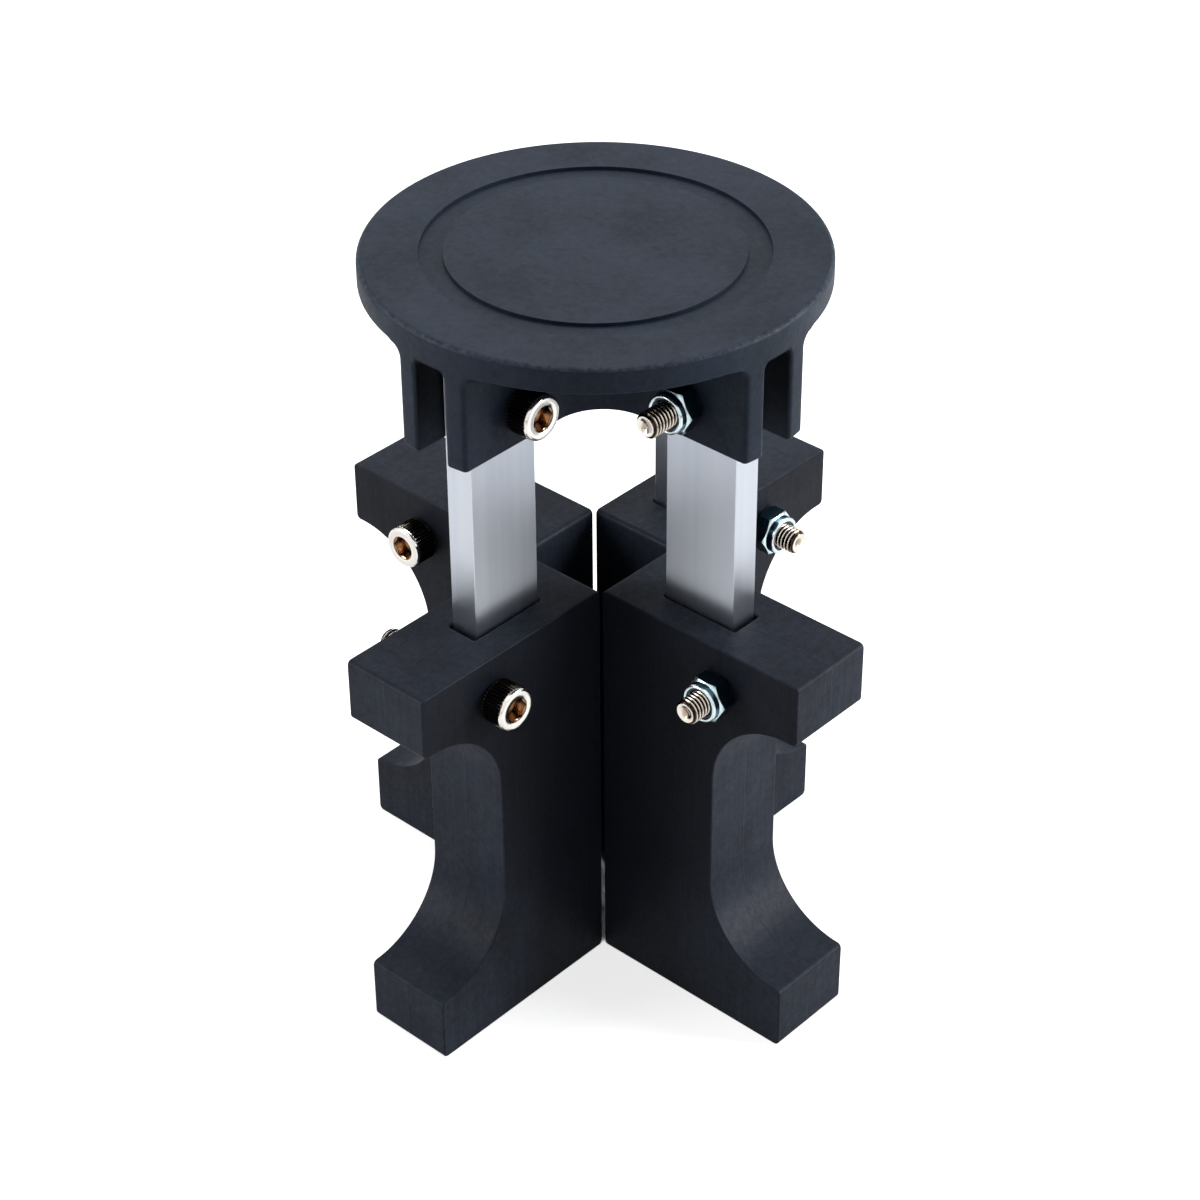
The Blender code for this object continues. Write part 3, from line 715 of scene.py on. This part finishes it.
nickel, shader, place, marks = plated_steel("nickel_plated_steel", 0.12)
flat = add_node(nickel, "ShaderNodeMapping", [("Vector", place, "Object")],
                Scale=(1 / TONE_SPAN, 1 / TONE_SPAN, 0.0))
off_axis = add_node(nickel, "ShaderNodeVectorMath", [(0, flat, "Vector")], operation="LENGTH")
off_axis = add_node(nickel, "ShaderNodeMath", [(0, marks, "Fac"), (2, off_axis, "Value")],
                    [(1, TONE_SPREAD)], operation="MULTIPLY_ADD")
top_tone = add_node(nickel, "ShaderNodeValToRGB", [("Fac", off_axis, 0)], stops=[
    (0.0, "#DEC7AB"), (1.0, "#EDE8E1"), (at(0.00205), "#C4A587"), (at(0.00243), "#3A2D23"),
    (at(0.00256), "#EDE8E1")])
knurl_tone = add_node(nickel, "ShaderNodeValToRGB", [("Fac", off_axis, 0)], stops=[
    (0.0, "#DEC7AB"), (1.0, "#A39A8E"), (at(0.00205), "#C4A587"), (at(0.00243), "#3A2D23"),
    (at(0.00300), "#221C18"), (at(0.00400), "#221C18"), (at(0.00420), "#3A332D"),
    (at(0.00430), "#B5ACA1")])
shank_tone = add_node(nickel, "ShaderNodeValToRGB", [("Fac", off_axis, 0)], stops=[
    (0.0, "#8F7C6A"), (1.0, "#F2EEE8"), (at(0.00070), "#BBAA98"), (at(0.00110), "#EAE4DA"),
    (at(0.00186), "#EAE4DA"), (at(0.00196), "#1E1712"), (at(0.00222), "#3E342A"),
    (at(0.00234), "#A39584"), (at(0.00243), "#F2EEE8")])
height = add_node(nickel, "ShaderNodeSeparateXYZ", [("Vector", place, "Object")])
on_head = add_node(nickel, "ShaderNodeMath", [(0, height, "Z")], [(1, 0.0)],
                   operation="GREATER_THAN")
on_top = add_node(nickel, "ShaderNodeMath", [(0, height, "Z")], [(1, KNURL_TOP)],
                  operation="GREATER_THAN")
head_tone = add_node(nickel, "ShaderNodeMix",
                     [(0, on_top, 0), (6, knurl_tone, "Color"), (7, top_tone, "Color")],
                     data_type="RGBA")
tone = add_node(nickel, "ShaderNodeMix",
                [(0, on_head, 0), (6, shank_tone, "Color"), (7, head_tone, 2)],
                data_type="RGBA")
wire(shader, [("Base Color", tone, 2)])

pivot_screw = screw_mesh("pivot_screw_steel", PIVOT_SCREW_LENGTH)
foot_screw = screw_mesh("foot_screw_steel", FOOT_SCREW_LENGTH)
head_out = Matrix.Rotation(-math.pi / 2, 4, "X")
for k, place in enumerate(arm_places, 1):
    pivot_seat = Matrix.Translation((0, PIVOT_SEAT, 0)) @ head_out
    fit_piece(f"pivot_screw_steel_{k}", pivot_screw, nickel, "hub",
              f"pivot_screw_{k}", place @ pivot_seat)
    foot_seat = Matrix.Translation((FOOT_SCREW[0], FOOT_SEAT, FOOT_SCREW[2])) @ head_out
    fit_piece(f"foot_screw_steel_{k}", foot_screw, nickel, f"arm_{k}",
              f"foot_screw_{k}", place @ foot_seat)


# Lock nuts
# M5 lock nuts of blue-passivated zinc-plated steel.  Their hexagons are chamfered at both ends,
# and a thin collar is rolled in over the nylon ring that grips the thread.
NUT_WIDTH = 0.0080
NUT_HEIGHT = 0.0050
NUT_HEX_HEIGHT = 0.0034
NUT_CHAMFER_RADIUS = 0.0039
NUT_BORE = 0.00265
hexagonal = hexagon(NUT_WIDTH)


def chamfer(angle):
    return 0.58 * (hexagonal(angle) - NUT_CHAMFER_RADIUS)


nut_mesh = lathe("lock_nut_steel", [
    (NUT_BORE, 0.00030), (0.00295, 0.0), (NUT_CHAMFER_RADIUS, 0.0), (hexagonal, chamfer),
    (hexagonal, lambda a: NUT_HEX_HEIGHT - chamfer(a)), (NUT_CHAMFER_RADIUS, NUT_HEX_HEIGHT),
    (0.00382, 0.00345), (0.00379, 0.00355), (0.00379, 0.00450), (0.00374, 0.00475),
    (0.00360, 0.00492), (0.00340, NUT_HEIGHT), (0.00320, 0.00498), (0.00306, 0.00488),
    (0.00302, 0.00476), (0.00322, 0.00466), (0.00322, 0.00382), (NUT_BORE, 0.00380)],
    144, hollow=True)

# The passivation is blue.  It is painted dark on the flats and up the collar as a painted dark
# reflection, and pale on the chamfers and on the collar's rolled edge as a painted highlight.
zinc, shader, place, marks = plated_steel("blue_passivated_zinc_plate", 0.16)
height = add_node(zinc, "ShaderNodeSeparateXYZ", [("Vector", place, "Object")])
level = add_node(zinc, "ShaderNodeMapRange", [("Value", height, "Z")], From_Max=NUT_HEIGHT)
level = add_node(zinc, "ShaderNodeMath", [(0, marks, "Fac"), (2, level, "Result")],
                 [(1, 0.04)], operation="MULTIPLY_ADD")
tone = add_node(zinc, "ShaderNodeValToRGB", [("Fac", level, 0)], stops=[
    (0.0, "#BFD6DD"), (1.0, "#D9EAEE"), (0.07, "#2F4E5E"), (0.62, "#3A5D6D"),
    (0.67, "#D3E6EB"), (0.71, "#D3E6EB"), (0.74, "#2B4756"), (0.91, "#4A6C7C"),
    (0.96, "#E2F0F3")])
wire(shader, [("Base Color", tone, "Color")])
for k, place in enumerate(arm_places, 1):
    pivot_seat = Matrix.Translation((0, -PIVOT_SEAT, 0)) @ crosswise
    fit_piece(f"pivot_locknut_steel_{k}", nut_mesh, zinc, "hub",
              f"pivot_locknut_{k}", place @ pivot_seat)
    foot_seat = Matrix.Translation((FOOT_SCREW[0], -FOOT_SEAT, FOOT_SCREW[2])) @ crosswise
    fit_piece(f"foot_locknut_steel_{k}", nut_mesh, zinc, f"arm_{k}",
              f"foot_locknut_{k}", place @ foot_seat)


# Nylon rings of the lock nuts
# Unthreaded rings pressed in under the rolled collars, which the screws cut their way through.
# They are turned from nylon rod, coloured a dark blue-black, smooth and a little waxy.
ring_mesh = lathe("lock_ring_nylon", [
    (0.00262, 0.00395), (0.00272, 0.00386), (0.00310, 0.00386), (0.00318, 0.00395),
    (0.00318, 0.00448), (0.00312, 0.00462), (0.00296, 0.00468), (0.00275, 0.00466),
    (0.00262, 0.00458)], 72, hollow=True)
ring_nylon, shader = new_material("turned_nylon", Roughness=0.42, IOR=1.53)
place = add_node(ring_nylon, "ShaderNodeTexCoord")
turning = add_node(ring_nylon, "ShaderNodeTexNoise", [("Vector", place, "Object")],
                   Scale=1 / 0.0004, Detail=2.0)
tone = add_node(ring_nylon, "ShaderNodeValToRGB", [("Fac", turning, "Fac")],
                stops=[(0.3, "#1D2B38"), (0.7, "#2A3B4A")])
wire(shader, [("Base Color", tone, "Color")])
for k, place in enumerate(arm_places, 1):
    pivot_seat = Matrix.Translation((0, -PIVOT_SEAT, 0)) @ crosswise
    fit_piece(f"pivot_nut_ring_{k}", ring_mesh, ring_nylon, "hub",
              f"pivot_nut_insert_{k}", place @ pivot_seat)
    foot_seat = Matrix.Translation((FOOT_SCREW[0], -FOOT_SEAT, FOOT_SCREW[2])) @ crosswise
    fit_piece(f"foot_nut_ring_{k}", ring_mesh, ring_nylon, f"arm_{k}",
              f"foot_nut_insert_{k}", place @ foot_seat)


# Floor, light and camera
# A white paper floor under soft studio light, with the camera where the photograph was taken.
# The eye and polished metal see white paper, which throws less light back on matt surfaces.
DIM_WORLD = 0.02
LIT_POINT = (0.0, 0.0, 0.08)


def seen_directly(owner):
    """A node that is 1 for rays from the camera, gloss and glass, and 0 for the rest."""
    rays = add_node(owner, "ShaderNodeLightPath")
    seen = add_node(owner, "ShaderNodeMath",
                    [(0, rays, "Is Camera Ray"), (1, rays, "Is Glossy Ray")],
                    operation="MAXIMUM")
    return add_node(owner, "ShaderNodeMath", [(0, seen, 0), (1, rays, "Is Transmission Ray")],
                    operation="MAXIMUM")


white, shader = new_material("white_floor_paper", Roughness=0.9, Specular_IOR_Level=0.0,
                             Emission_Color=(1, 1, 1, 1), Base_Color=srgb("#E6E6E6"))
lift = add_node(white, "ShaderNodeMapRange", [("Value", seen_directly(white), 0)], To_Max=0.30)
# The lamps don't reach far, and past them the paper is as white as the studio behind it.
place = add_node(white, "ShaderNodeTexCoord")
away = add_node(white, "ShaderNodeVectorMath", [(0, place, "Object")], operation="LENGTH")
away = add_node(white, "ShaderNodeMapRange", [("Value", away, "Value")],
                From_Min=0.25, From_Max=1.5, To_Min=0.44, To_Max=0.70)
rays = add_node(white, "ShaderNodeLightPath")
lift = add_node(white, "ShaderNodeMath",
                [(0, rays, "Is Camera Ray"), (1, away, 0), (2, lift, "Result")],
                operation="MULTIPLY_ADD")
# The floor between the four feet is shut in on all sides, so its added glow is masked off there
# by occlusion, a painted shade that keeps it dark.
open_air = add_node(white, "ShaderNodeAmbientOcclusion", Distance=0.06)
open_air = add_node(white, "ShaderNodeMapRange", [("Value", open_air, "AO")],
                    From_Min=0.15, From_Max=0.23)
lift = add_node(white, "ShaderNodeMath", [(0, lift, 0), (1, open_air, 0)], operation="MULTIPLY")
wire(shader, [("Emission Strength", lift, 0)])
bm = bmesh.new()
bmesh.ops.create_grid(bm, x_segments=1, y_segments=1, size=6.0)
floor = bpy.data.objects.new("floor", mesh_of(bm, "floor"))
floor.data.materials.append(white)
bpy.context.scene.collection.objects.link(floor)

world = bpy.data.worlds.new("studio")
world.use_nodes = True
background = world.node_tree.nodes["Background"]
background.inputs["Color"].default_value = (1, 1, 1, 1)
level = add_node(world, "ShaderNodeMapRange", [("Value", seen_directly(world), 0)],
                 To_Min=DIM_WORLD, To_Max=1.0)
wire(background, [("Strength", level, "Result")])
bpy.context.scene.world = world


def softbox(name, place, size, watts):
    """A rectangular lamp that faces the riser."""
    lamp = bpy.data.lights.new(name, "AREA")
    lamp.shape = "RECTANGLE"
    lamp.size, lamp.size_y = size
    lamp.energy = watts
    obj = bpy.data.objects.new(name, lamp)
    obj.location = place
    obj.rotation_euler = (Vector(LIT_POINT) - Vector(place)).to_track_quat("-Z", "Y").to_euler()
    bpy.context.scene.collection.objects.link(obj)


softbox("softbox_left", (-0.58, -0.66, 0.33), (0.4, 0.6), 5.7)
softbox("softbox_right", (0.66, 0.58, 0.33), (0.4, 0.6), 11.0)
softbox("softbox_back", (-0.25, 0.32, 0.92), (0.6, 0.6), 5.0)
softbox("softbox_over", (0.15, -0.15, 1.05), (0.6, 0.6), 1.5)

# The camera was found by fitting the photograph's outlines, and looks down from the front right.
CAMERA_PLACE = (0.31802, -0.34687, 0.40224)
CAMERA_AZIMUTH = math.radians(42.471)
CAMERA_ELEVATION = math.radians(34.898)
CAMERA_ROLL = math.radians(-0.408)
camera = bpy.data.cameras.new("camera")
camera.sensor_width = 36.0
camera.lens = 90.91
camera_object = bpy.data.objects.new("camera", camera)
camera_object.location = CAMERA_PLACE
back = Vector((math.sin(CAMERA_AZIMUTH) * math.cos(CAMERA_ELEVATION),
               -math.cos(CAMERA_AZIMUTH) * math.cos(CAMERA_ELEVATION),
               math.sin(CAMERA_ELEVATION)))
level_view = (-back).to_track_quat("-Z", "Y").to_matrix()
camera_object.rotation_euler = (level_view @ Matrix.Rotation(CAMERA_ROLL, 3, "Z")).to_euler()
bpy.context.scene.collection.objects.link(camera_object)
bpy.context.scene.camera = camera_object
bpy.context.scene.view_settings.view_transform = "Standard"
